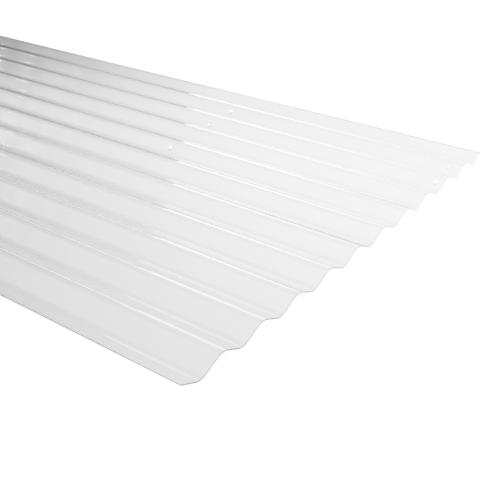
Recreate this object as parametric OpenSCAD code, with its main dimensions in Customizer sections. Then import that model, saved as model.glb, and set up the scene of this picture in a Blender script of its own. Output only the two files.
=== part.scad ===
/* [Sheet] */
// Length along the waves, an eight foot stock length
sheet_len = 2438.4; // [600:0.1:4000]
// Width across the waves, from edge to edge
sheet_w = 660.4; // [300:0.1:1300]
// Thickness of the polycarbonate
sheet_t = 0.8; // [0.5:0.1:2]

/* [Waves] */
// Distance from one crest to the next
wave_pitch = 60.96; // [50:0.01:100]
// Height over the crests, as the sheet lies on a floor
wave_h = 11.6; // [9:0.1:18]
// Bend radius of crests and troughs, at the middle of the thickness
bend_r = 16; // [6:0.5:22]

/* [Smoothness] */
// Straight steps that each bend is made of, an even number
bend_steps = 8; // [4:2:24]

/* [Hidden] */

// A turn is one trough or one crest. They follow each other at half a pitch.
turn_gap = wave_pitch / 2;
// Rise of the middle of the thickness, from trough to crest
rise = wave_h - sheet_t;
// Largest bend that still meets the next one on a straight flank
bend_limit = (turn_gap * turn_gap + rise * rise) / (4 * rise);
bend = min(bend_r, bend_limit);
// Slope of the straight flanks, in degrees. They touch the bend of a trough and the bend of the
// next crest, so this is the inner tangent of two circles.
flank_slope = atan2(rise - 2 * bend, turn_gap)
    + asin(min(1, 2 * bend / norm([turn_gap, rise - 2 * bend])));
// Half the width that a bend takes up before its flank starts
bend_reach = bend * sin(flank_slope);
// Both edges are trimmed upright, this far from the centre line
half_w = sheet_w / 2;

// The turn nearest to a place across the sheet. Turn 0 is the trough on the centre line.
function turn_at(y) = round(y / turn_gap);
// Distance from that turn, with its sign
function off_turn(y) = y - turn_at(y) * turn_gap;
// 1 in a trough and -1 on a crest
function way_up(y) = turn_at(y) % 2 == 0 ? 1 : -1;
// How far the sheet leans away from level, in degrees, counted from its nearest turn
function lean(y) = let (d = off_turn(y))
    abs(d) < bend_reach ? asin(d / bend) : sign(d) * flank_slope;
// Height of the middle of the thickness above a trough, or below a crest
function climb(y) = let (d = off_turn(y), a = lean(y))
    bend * (1 - cos(a)) + (abs(d) - bend * abs(sin(a))) * abs(tan(a));
// Middle of the thickness at a place across the sheet
function middle(y) = sheet_t / 2 + (way_up(y) > 0 ? climb(y) : rise - climb(y));
// A point on one skin, square out from the middle: side is 1 on the top and -1 underneath
function skin(y, side) = let (slope = way_up(y) * lean(y))
    [y - side * sheet_t / 2 * sin(slope), middle(y) + side * sheet_t / 2 * cos(slope)];
// A corner of a trimmed edge, straight above or below the middle
function corner(y, side) = [y, middle(y) + side * sheet_t / 2 / cos(lean(y))];

// Places across the sheet where its section has a point: every step of each bend. A point nearer
// to an edge than the thickness is left out, because the corner stands there.
last_turn = ceil(half_w / turn_gap);
bend_places = [
    for (turn = [-last_turn : last_turn], step = [0 : bend_steps])
        let (a = flank_slope * (2 * step / bend_steps - 1))
        turn * turn_gap + bend * sin(a)
];
places = [for (y = bend_places) if (abs(y) < half_w - sheet_t) y];

// Section across the waves: the top skin from left to right, then the underside back again
module section() {
    last = len(places) - 1;
    polygon(concat(
        [corner(-half_w, 1)],
        [for (y = places) skin(y, 1)],
        [corner(half_w, 1), corner(half_w, -1)],
        [for (i = [0 : last]) skin(places[last - i], -1)],
        [corner(-half_w, -1)]
    ));
}

// One extruded sheet. It lies on its troughs, with its length along X.
module corrugated_sheet() {
    color([0.93, 0.94, 0.95, 0.45])
    translate([-sheet_len / 2, 0, 0])
    rotate([90, 0, 90])
    linear_extrude(height = sheet_len)
    section();
}

corrugated_sheet();
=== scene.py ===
import math

import bpy
import numpy as np
from mathutils import Matrix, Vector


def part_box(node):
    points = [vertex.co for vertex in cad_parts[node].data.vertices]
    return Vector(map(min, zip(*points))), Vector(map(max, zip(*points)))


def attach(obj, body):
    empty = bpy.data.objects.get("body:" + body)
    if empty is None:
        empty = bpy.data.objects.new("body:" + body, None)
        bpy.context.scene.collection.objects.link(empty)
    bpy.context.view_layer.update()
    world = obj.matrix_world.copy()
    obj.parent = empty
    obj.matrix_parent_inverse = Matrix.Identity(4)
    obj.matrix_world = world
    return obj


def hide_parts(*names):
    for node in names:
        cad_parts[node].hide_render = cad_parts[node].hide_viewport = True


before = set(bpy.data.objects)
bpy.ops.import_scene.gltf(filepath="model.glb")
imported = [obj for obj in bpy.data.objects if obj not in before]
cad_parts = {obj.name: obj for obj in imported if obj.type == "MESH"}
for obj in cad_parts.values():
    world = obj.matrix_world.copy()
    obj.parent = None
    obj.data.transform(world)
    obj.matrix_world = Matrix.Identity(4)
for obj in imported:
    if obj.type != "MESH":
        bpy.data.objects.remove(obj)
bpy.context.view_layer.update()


# ---------------------------------------------------------------------------------------------
# Camera. It looks along the sheet from beside its near end, so that the cut end crosses the
# view and the rest of the length runs out of it at the left.

sheet_low, sheet_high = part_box("corrugated_sheet")

CAMERA_PAST_END = 0.3315
CAMERA_BESIDE_EDGE = 0.3908
CAMERA_HEIGHT = 0.4142
CAMERA_AZIMUTH = math.radians(35.326)
CAMERA_DIP = math.radians(27.806)
CAMERA_ROLL = math.radians(1.535)
LENS_MM = 59.19
SENSOR_MM = 36.0

camera_data = bpy.data.cameras.new("camera")
camera_data.lens = LENS_MM
camera_data.sensor_width = SENSOR_MM
camera_data.clip_start = 0.02
camera_data.clip_end = 200.0
camera = bpy.data.objects.new("camera", camera_data)
camera.matrix_world = (
    Matrix.Translation((
        sheet_high.x + CAMERA_PAST_END,
        sheet_low.y - CAMERA_BESIDE_EDGE,
        sheet_low.z + CAMERA_HEIGHT,
    ))
    @ Matrix.Rotation(CAMERA_AZIMUTH, 4, "Z")
    @ Matrix.Rotation(math.pi / 2 - CAMERA_DIP, 4, "X")
    @ Matrix.Rotation(CAMERA_ROLL, 4, "Z")
)
bpy.context.scene.collection.objects.link(camera)
bpy.context.scene.camera = camera


# ---------------------------------------------------------------------------------------------
# The sheet. One extrusion of clear polycarbonate with rounded waves along its length. Its sides
# are trimmed upright as it leaves the die, and its ends are sawn square. Handling has knocked a
# few small dimples into it.

WAVE_PITCH = 0.06096
SHEET_THICKNESS = 0.0008
BEND_RADIUS = 0.016
STEPS_PER_BEND = 14
STEPS_PER_FLANK = 5
STEPS_ALONG = 16
SHARP_ANGLE = math.radians(40)

# Of each knock: how far back from the sawn end, how far in from the far edge, radius, depth.
KNOCKS = np.array([
    (0.3882, 0.0722, 0.0055, 0.00150),
    (0.3802, 0.1392, 0.0045, 0.00118),
    (0.3592, 0.2552, 0.0055, 0.00145),
    (0.0192, 0.0702, 0.0043, 0.00118),
    (0.0112, 0.1312, 0.0045, 0.00120),
])
KNOCK_STEP = 0.0008
NEARLY_MEET = 0.3 * KNOCK_STEP

sheet_rise = sheet_high.z - sheet_low.z - SHEET_THICKNESS
half_width = (sheet_high.y - sheet_low.y) / 2
middle_y = (sheet_high.y + sheet_low.y) / 2
knock_x = sheet_high.x - KNOCKS[:, 0]
knock_y = sheet_high.y - KNOCKS[:, 1]
turn_gap = WAVE_PITCH / 2
to_next_bend = math.hypot(turn_gap, sheet_rise - 2 * BEND_RADIUS)
flank_slope = (
    math.atan2(sheet_rise - 2 * BEND_RADIUS, turn_gap)
    + math.asin(2 * BEND_RADIUS / to_next_bend)
)
bend_reach = BEND_RADIUS * math.sin(flank_slope)


def wave_middle(y):
    """Height and slope of the middle of the thickness at places y across the sheet.

    Turns, a trough and a crest by turns, follow each other at half a pitch. Near a turn the
    middle is an arc, height = radius (1 - cos lean) with sin lean = distance / radius. Past the
    arc it climbs along a straight flank at the lean that the arc ends with.
    """
    turn = np.round(y / turn_gap)
    away = y - turn * turn_gap
    up = np.where(turn % 2 == 0, 1.0, -1.0)
    lean = np.arcsin(np.clip(away, -bend_reach, bend_reach) / BEND_RADIUS)
    climb = BEND_RADIUS * (1 - np.cos(lean))
    climb += (np.abs(away) - BEND_RADIUS * np.abs(np.sin(lean))) * np.tan(np.abs(lean))
    height = np.where(up > 0, climb, sheet_rise - climb) + SHEET_THICKNESS / 2
    return height, up * lean


def pressed_in(x, y):
    """How far the knocks press the sheet down. Each is a smooth dimple: with t the distance from
    its middle over its radius, it is its depth times 1 - 3 t^2 + 2 t^3 up to t = 1."""
    pressed = 0.0
    for at_x, at_y, (radius, depth) in zip(knock_x, knock_y, KNOCKS[:, 2:]):
        t = np.clip(np.hypot(x - at_x, y - at_y) / radius, 0, 1)
        pressed = pressed + depth * (1 - 3 * t**2 + 2 * t**3)
    return pressed


def finer_at_knocks(places, centres):
    """The places, with short even steps added over each knock. Of two places that nearly meet,
    only the first is kept."""
    reach = KNOCKS[:, 2] + KNOCK_STEP
    steps = int(2 * reach.max() / KNOCK_STEP)
    added = centres[:, None] + reach[:, None] * np.linspace(-1, 1, steps + 1)
    every = np.sort(np.concatenate([places, added.ravel()]))
    return every[np.diff(every, prepend=-np.inf) > NEARLY_MEET]


def places_across():
    """Where the section has points: steps of equal angle round each bend, even steps on each
    flank, short steps over each knock, and both trimmed edges."""
    last = math.ceil(half_width / turn_gap)
    turns = np.arange(-last, last + 1)[:, None] * turn_gap
    round_bend = BEND_RADIUS * np.sin(flank_slope * np.linspace(-1, 1, STEPS_PER_BEND + 1))
    flank_half = turn_gap / 2 - bend_reach
    up_flank = turn_gap / 2 + flank_half * np.linspace(-1, 1, STEPS_PER_FLANK + 1)[1:-1]
    inner = np.concatenate([(turns + round_bend).ravel(), (turns + up_flank).ravel()])
    inner = inner[np.abs(inner) < half_width - SHEET_THICKNESS]
    inner = finer_at_knocks(inner, knock_y - middle_y)
    return np.concatenate([[-half_width], inner, [half_width]])


def places_along():
    """Where the section is repeated: even steps, short ones over each knock, and both ends."""
    even = np.linspace(sheet_low.x, sheet_high.x, STEPS_ALONG + 1)
    return np.concatenate([even[:1], finer_at_knocks(even[1:-1], knock_x), even[-1:]])


def skin_line(y, side):
    """The outline of one skin. It lies half the thickness from the middle, measured square to
    the sheet: side is 1 for the upper skin and -1 for the lower. At the two trimmed edges the
    half thickness is measured straight up, so that both skins end at the same y."""
    height, slope = wave_middle(y)
    out_y = y - side * SHEET_THICKNESS / 2 * np.sin(slope)
    out_z = height + side * SHEET_THICKNESS / 2 * np.cos(slope)
    ends = [0, -1]
    out_y[ends] = y[ends]
    out_z[ends] = height[ends] + side * SHEET_THICKNESS / 2 / np.cos(slope[ends])
    return out_y, out_z


def sheet_mesh():
    """The closed mesh. Its section is a ring: the upper skin from edge to edge, then the lower
    skin back. The ring is repeated along the length and pressed down by the knocks, and each
    end is closed by a strip of quads between the two skins. Slot 0 is on the skins and slot 1
    on the four cut faces."""
    y = places_across()
    x = places_along()
    upper_y, upper_z = skin_line(y, 1)
    lower_y, lower_z = skin_line(y, -1)
    count = len(y)
    size = 2 * count
    rows_along = len(x) - 1
    points = np.empty((rows_along + 1, size, 3))
    points[..., 0] = x[:, None]
    points[..., 1] = np.concatenate([upper_y, lower_y[::-1]]) + middle_y
    points[..., 2] = np.concatenate([upper_z, lower_z[::-1]]) + sheet_low.z
    points[..., 2] -= pressed_in(points[..., 0], points[..., 1])

    here = np.arange(size)
    beyond = (here + 1) % size
    rows = np.arange(rows_along)[:, None] * size
    around = np.stack(
        [rows + here, rows + size + here, rows + size + beyond, rows + beyond], axis=-1
    ).reshape(-1, 4)
    trimmed = np.isin(here, [count - 1, size - 1])
    across = np.arange(count - 1)
    back = size - 1 - across
    start_cap = np.stack([across, across + 1, back - 1, back], axis=-1)
    end_cap = start_cap[:, ::-1] + rows_along * size
    faces = np.concatenate([around, start_cap, end_cap])
    cut = np.concatenate([np.tile(trimmed, rows_along), np.ones(2 * (count - 1), bool)])

    mesh = bpy.data.meshes.new("clear_sheet")
    mesh.from_pydata(points.reshape(-1, 3), [], faces)
    mesh.polygons.foreach_set("use_smooth", ~cut)
    mesh.polygons.foreach_set("material_index", cut.astype(np.int32))
    mesh.set_sharp_from_angle(angle=SHARP_ANGLE)
    mesh.validate()
    mesh.update()
    return mesh


class Wire:
    """One socket of a node tree. Arithmetic on it adds the Math node that works it out."""

    def __init__(self, tree, socket=None):
        self.tree = tree
        self.socket = socket

    def node(self, kind, settings, values, output=0):
        """Adds a node of this kind. Its settings are set first, then its sockets get values or
        wires. The result is a wire from the output of that name or number, if it has any."""
        made = self.tree.nodes.new(kind)
        for name, value in settings.items():
            setattr(made, name, value)
        for name, value in values.items():
            if isinstance(value, Wire):
                self.tree.links.new(value.socket, made.inputs[name])
            else:
                made.inputs[name].default_value = value
        return Wire(self.tree, made.outputs[output] if made.outputs else None)

    def math(self, operation, first, second=0.0):
        return self.node("ShaderNodeMath", {"operation": operation}, {0: first, 1: second})

    def __add__(self, other):
        return self.math("ADD", self, other)

    __radd__ = __add__

    def __sub__(self, other):
        return self.math("SUBTRACT", self, other)

    def __rsub__(self, other):
        return self.math("SUBTRACT", other, self)

    def __mul__(self, other):
        return self.math("MULTIPLY", self, other)

    __rmul__ = __mul__

    def ramp(self, low, high, to_low=0.0, to_high=1.0):
        """The value moved from the range low to high to another range, eased at both ends."""
        return self.node(
            "ShaderNodeMapRange",
            {"interpolation_type": "SMOOTHSTEP"},
            {"Value": self, "From Min": low, "From Max": high, "To Min": to_low, "To Max": to_high},
        )


def new_material(name):
    """A material with an empty tree, and a wire to start its nodes from."""
    made = bpy.data.materials.new(name)
    made.use_nodes = True
    made.node_tree.nodes.clear()
    return made, Wire(made.node_tree)


def place_on_piece(start):
    return start.node("ShaderNodeTexCoord", {}, {}, "Object")


def one_axis(start, place, axis):
    return start.node("ShaderNodeSeparateXYZ", {}, {"Vector": place}, axis)


def stretched(start, place, amounts):
    """The place, with each axis multiplied by its own amount, so that a pattern on it is long
    where its amount is small."""
    return start.node(
        "ShaderNodeVectorMath", {"operation": "MULTIPLY"}, {0: place, 1: amounts}
    )


def noise(start, place, scale, detail, roughness=0.5):
    return start.node(
        "ShaderNodeTexNoise",
        {"noise_dimensions": "3D"},
        {"Vector": place, "Scale": scale, "Detail": detail, "Roughness": roughness},
    )


def bumped(start, height, strength, distance, **below):
    """A normal that follows the height, on top of another normal where one is given."""
    values = {"Strength": strength, "Distance": distance, "Height": height}
    return start.node("ShaderNodeBump", {}, values | below)


POLYCARBONATE_IOR = 1.585
DIE_LINE_HEIGHT = 0.000004
RIPPLE_HEIGHT = 0.00012
CLEAN_ROUGHNESS = 0.012
DULL_ROUGHNESS = 0.02
SCRATCH_ROUGHNESS = 0.05


def clear_polycarbonate():
    """The skins: clear and glossy, and they bend light strongly. The die leaves fine lines along
    the length, cooling leaves a slow ripple, and handling leaves dull patches and short
    scratches."""
    made, start = new_material("clear polycarbonate")
    place = place_on_piece(start)

    die_lines = noise(start, stretched(start, place, (0.2, 60.0, 60.0)), 3.0, 1.0)
    ripple = noise(start, stretched(start, place, (2.0, 9.0, 9.0)), 1.2, 1.0)
    fine = bumped(start, die_lines, 1.0, DIE_LINE_HEIGHT)
    normal = bumped(start, ripple, 1.0, RIPPLE_HEIGHT, Normal=fine)

    dull = noise(start, stretched(start, place, (3.0, 8.0, 8.0)), 2.0, 3.0).ramp(0.45, 0.75)
    scratch = noise(start, stretched(start, place, (9.0, 420.0, 420.0)), 1.0, 2.0, 0.6)
    scratch = scratch.ramp(0.68, 0.74)

    surface = start.node(
        "ShaderNodeBsdfPrincipled",
        {},
        {
            "Base Color": (0.995, 0.995, 0.995, 1.0),
            "Roughness": CLEAN_ROUGHNESS + DULL_ROUGHNESS * dull + SCRATCH_ROUGHNESS * scratch,
            "IOR": POLYCARBONATE_IOR,
            "Transmission Weight": 1.0,
            "Normal": normal,
        },
    )
    start.node("ShaderNodeOutputMaterial", {}, {"Surface": surface})
    return made


# Painted shade across the cut faces, and a painted glow at the far edge.
CUT_PAINTED_SHADES = (0.27, 0.95)
CUT_PAINTED_SHADES_OVER = (-0.42, 0.33)
CUT_PAINTED_GLOW = 0.24
CUT_PAINTED_GLOW_OVER = (0.22, 0.33)
TEETH_HEIGHT = 0.00005
SAWN_ROUGHNESS = 0.30
TEETH_ROUGHNESS = 0.25


def cut_polycarbonate():
    """The sawn ends and trimmed edges: the same plastic, frosted by the blade's teeth. Their colour
    is painted shade, dark on the near side and paler across the sheet, and a painted glow at the
    far edge stands in for the light that the sheet gathers."""
    made, start = new_material("cut polycarbonate")
    place = place_on_piece(start)
    teeth = noise(start, stretched(start, place, (900.0, 900.0, 300.0)), 1.0, 2.0)
    across = one_axis(start, place, "Y")
    surface = start.node(
        "ShaderNodeBsdfPrincipled",
        {},
        {
            # Painted shade: the cut faces are darker towards the near side.
            "Base Color": across.ramp(*CUT_PAINTED_SHADES_OVER, *CUT_PAINTED_SHADES),
            # Painted glow: the far edge shines although it is no lamp.
            "Emission Color": across.ramp(*CUT_PAINTED_GLOW_OVER, 0.0, CUT_PAINTED_GLOW),
            "Emission Strength": 1.0,
            "Roughness": SAWN_ROUGHNESS + TEETH_ROUGHNESS * teeth,
            "IOR": POLYCARBONATE_IOR,
            "Normal": bumped(start, teeth, 0.6, TEETH_HEIGHT),
        },
    )
    start.node("ShaderNodeOutputMaterial", {}, {"Surface": surface})
    return made


sheet = bpy.data.objects.new("clear_sheet", sheet_mesh())
bpy.context.scene.collection.objects.link(sheet)
sheet.data.materials.append(clear_polycarbonate())
sheet.data.materials.append(cut_polycarbonate())
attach(sheet, "root")
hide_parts("corrugated_sheet")


# ---------------------------------------------------------------------------------------------
# Floor. A plain white studio floor that the troughs lie on. The studio lights it, so it keeps
# the sheet's shadow, and a glow makes up what it lacks to white. Looked at through the sheet,
# it is a plain light instead, with painted shade: greyer round one place behind the far edge.

FLOOR_HALF = 40.0
FLOOR_BELOW = 0.0001
FLOOR_PALENESS = 0.86
# The darkest that the painted shade makes the floor.
FLOOR_DARKEST_PAINTED_SHADE = 0.42
FLOOR_WHITE = 1.02

# Painted shade: greyer round one place on the floor and towards the near side. Painted light: paler
# past the sawn end.
PAINTED_SHADE_MIDDLE = (-0.19, 0.54, 0.0)
PAINTED_SHADE = 0.54
PAINTED_SHADE_OVER = (0.06, 1.01)
NEAR_PAINTED_SHADE = 0.216
NEAR_PAINTED_SHADE_OVER = (-0.60, 0.26)
END_PAINTED_LIGHT = 0.11
END_PAINTED_LIGHT_OVER = (0.40, 1.32)


def one_face(name, corners):
    """A stage piece of one flat face, whose corners run round it in order."""
    mesh = bpy.data.meshes.new(name)
    mesh.from_pydata(corners, [], [(0, 1, 2, 3)])
    made = bpy.data.objects.new(name, mesh)
    bpy.context.scene.collection.objects.link(made)
    return made


def white_glow(start, strength):
    return start.node(
        "ShaderNodeEmission", {}, {"Color": (1.0, 1.0, 1.0, 1.0), "Strength": strength}
    )


floor = one_face("floor", [
    (-FLOOR_HALF, -FLOOR_HALF, 0.0),
    (FLOOR_HALF, -FLOOR_HALF, 0.0),
    (FLOOR_HALF, FLOOR_HALF, 0.0),
    (-FLOOR_HALF, FLOOR_HALF, 0.0),
])
floor.location.z = sheet_low.z - FLOOR_BELOW

floor_material, start = new_material("white studio floor")
straight = start.node("ShaderNodeLightPath", {}, {}, "Is Camera Ray")
place = place_on_piece(start)
away = start.node(
    "ShaderNodeVectorMath", {"operation": "DISTANCE"}, {0: place, 1: PAINTED_SHADE_MIDDLE}, "Value"
)
# Paleness with painted shade and painted light, as the sheet sees the floor.
paleness_with_painted_shade = FLOOR_PALENESS - away.ramp(*PAINTED_SHADE_OVER, PAINTED_SHADE, 0.0)
paleness_with_painted_shade = paleness_with_painted_shade - one_axis(start, place, "Y").ramp(*NEAR_PAINTED_SHADE_OVER, NEAR_PAINTED_SHADE, 0.0)
paleness_with_painted_shade = paleness_with_painted_shade + one_axis(start, place, "X").ramp(*END_PAINTED_LIGHT_OVER, 0.0, END_PAINTED_LIGHT)
paleness_with_painted_shade = paleness_with_painted_shade.math("MAXIMUM", paleness_with_painted_shade, FLOOR_DARKEST_PAINTED_SHADE)

lit = straight * paleness_with_painted_shade
through = paleness_with_painted_shade * (0.83 + 0.12 * paleness_with_painted_shade)
strength = straight * (FLOOR_WHITE - paleness_with_painted_shade) + (1.0 - straight) * through
colour = start.node("ShaderNodeCombineColor", {}, {"Red": lit, "Green": lit, "Blue": lit})
diffuse = start.node("ShaderNodeBsdfDiffuse", {}, {"Color": colour})
both = start.node("ShaderNodeAddShader", {}, {0: diffuse, 1: white_glow(start, strength)})
start.node("ShaderNodeOutputMaterial", {}, {"Surface": both})
floor_material.cycles.emission_sampling = "NONE"
floor.data.materials.append(floor_material)


# ---------------------------------------------------------------------------------------------
# Strip. A painted dark reflection: a low glowing strip on the floor close behind the far edge,
# # along the far part of the length. The camera doesn't see it and it throws no shadow. The sheet
# # mirrors it, and it shows through the skins, so the far ridges keep a dark line where they turn
# away.

STRIP_HEIGHT = 0.105
STRIP_BEHIND = 0.03
STRIP_BACK = 0.5542
STRIP_LENGTH = 2.4

# Its painted glow is darkest a little past its middle and paler to both of its ends.
STRIP_TO_NEAR_END = (0.05, 0.50)
STRIP_TO_NEAR_END_OVER = (0.12, 0.48)
STRIP_TO_FAR_END = (0.65, 0.0)
STRIP_TO_FAR_END_OVER = (-0.9, 0.05)

strip_y = sheet_high.y + STRIP_BEHIND
strip_end = sheet_high.x - STRIP_BACK
strip_top = sheet_low.z + STRIP_HEIGHT
# A card for a painted dark reflection, seen only in the sheet's reflections and through its skins.
strip = one_face("painted_reflection_strip", [
    (strip_end - STRIP_LENGTH, strip_y, sheet_low.z),
    (strip_end, strip_y, sheet_low.z),
    (strip_end, strip_y, strip_top),
    (strip_end - STRIP_LENGTH, strip_y, strip_top),
])
strip.visible_camera = False
strip.visible_diffuse = False
strip.visible_shadow = False

strip_material, start = new_material("painted reflection strip")
along_strip = one_axis(start, place_on_piece(start), "X")
strength = along_strip.ramp(*STRIP_TO_NEAR_END_OVER, *STRIP_TO_NEAR_END)
strength = strength + along_strip.ramp(*STRIP_TO_FAR_END_OVER, *STRIP_TO_FAR_END)
start.node("ShaderNodeOutputMaterial", {}, {"Surface": white_glow(start, strength)})
strip_material.cycles.emission_sampling = "NONE"
strip.data.materials.append(strip_material)


# ---------------------------------------------------------------------------------------------
# Studio. Plain white light from all round. The glossy skins mirror a room: a bright wall near
# the sawn end, past a corner a darker one with shelves and a pale skirting, a dim gap above
# both, a bright ceiling with a row of lamps at its edge, and a softer light behind the camera.

# Directions along the sheet, as the cosine of the angle to it.
CORNER = (-0.583, -0.577)
FAR_CORNER = (-0.757, -0.742)
# Directions up from the floor, in degrees.
SKIRTING_FADES = (18, 23)
WALL_FADES = (21, 39)
CEILING_STARTS = (66, 80)
LAMP_STARTS = (66.8, 67.6)
LAMP_STOPS = (69.0, 69.8)
SOFT_LIGHT_STARTS = (56, 60)
SOFT_LIGHT_STOPS = (78, 82)

SKIRTING_STRENGTH = 0.95
SHELF_CONTRAST = 0.9
LAMP_STRENGTH = 16.0
SOFT_LIGHT_STRENGTH = 5.0

world = bpy.data.worlds.new("studio")
bpy.context.scene.world = world
world.use_nodes = True
world.node_tree.nodes.clear()
start = Wire(world.node_tree)
direction = start.node("ShaderNodeTexCoord", {}, {}, "Generated")
along = one_axis(start, direction, "X")
side = one_axis(start, direction, "Y")
height = one_axis(start, direction, "Z")
lean = height.math("ARCTAN2", height, side.math("ABSOLUTE", side)) * math.degrees(1.0)

gap = along.ramp(-0.80, -0.50, 0.28, 0.84)
ceiling = along.ramp(-0.85, -0.46, 0.60, 1.12)
left_wall = along.ramp(-0.80, -0.58, 0.14, 0.45)
left_wall = left_wall + lean.ramp(*SKIRTING_FADES, SKIRTING_STRENGTH, 0.0)
right_wall = along.ramp(-0.56, -0.33, 1.28, 1.0)
past_corner = (along + 0.06 * height).ramp(*CORNER)
wall = left_wall + past_corner * (right_wall - left_wall)
room = gap + lean.ramp(*WALL_FADES, 1.0, 0.0) * (wall - gap)
room = room + lean.ramp(*CEILING_STARTS) * (ceiling - gap)

shelves = noise(start, stretched(start, direction, (60.0, 20.0, 20.0)), 1.0, 1.0)
room = room + (shelves - 0.5) * along.ramp(-0.76, -0.62, SHELF_CONTRAST, 0.0)
lamps = lean.ramp(*LAMP_STARTS) * lean.ramp(*LAMP_STOPS, 1.0, 0.0) * shelves.ramp(0.48, 0.54)
room = room + LAMP_STRENGTH * lamps * along.ramp(*FAR_CORNER, 1.0, 0.0)
soft = lean.ramp(*SOFT_LIGHT_STARTS) * lean.ramp(*SOFT_LIGHT_STOPS, 1.0, 0.0)
soft = soft * side.ramp(-0.04, -0.02, 1.0, 0.0)
soft = soft * along.ramp(-0.75, -0.70) * along.ramp(-0.35, -0.25, 1.0, 0.0)
room = room + SOFT_LIGHT_STRENGTH * soft

diffused = start.node("ShaderNodeLightPath", {}, {}, "Diffuse Depth")
lights = diffused.math("GREATER_THAN", diffused, 0.5)
seen = start.node("ShaderNodeLightPath", {}, {}, "Is Camera Ray")
white = lights.math("MAXIMUM", lights, seen)
background = start.node(
    "ShaderNodeBackground",
    {},
    {"Color": (1.0, 1.0, 1.0, 1.0), "Strength": room + white * (1.0 - room)},
)
start.node("ShaderNodeOutputWorld", {}, {"Surface": background})

# Light passes many times from skin to skin inside thin clear waves, so it needs more bounces
# than usual, or dark lines show behind the crests. Mirrored lines stay sharp.
scene = bpy.context.scene
scene.view_settings.view_transform = "Standard"
scene.cycles.blur_glossy = 0.0
scene.cycles.max_bounces = 24
scene.cycles.glossy_bounces = 16
scene.cycles.transmission_bounces = 24
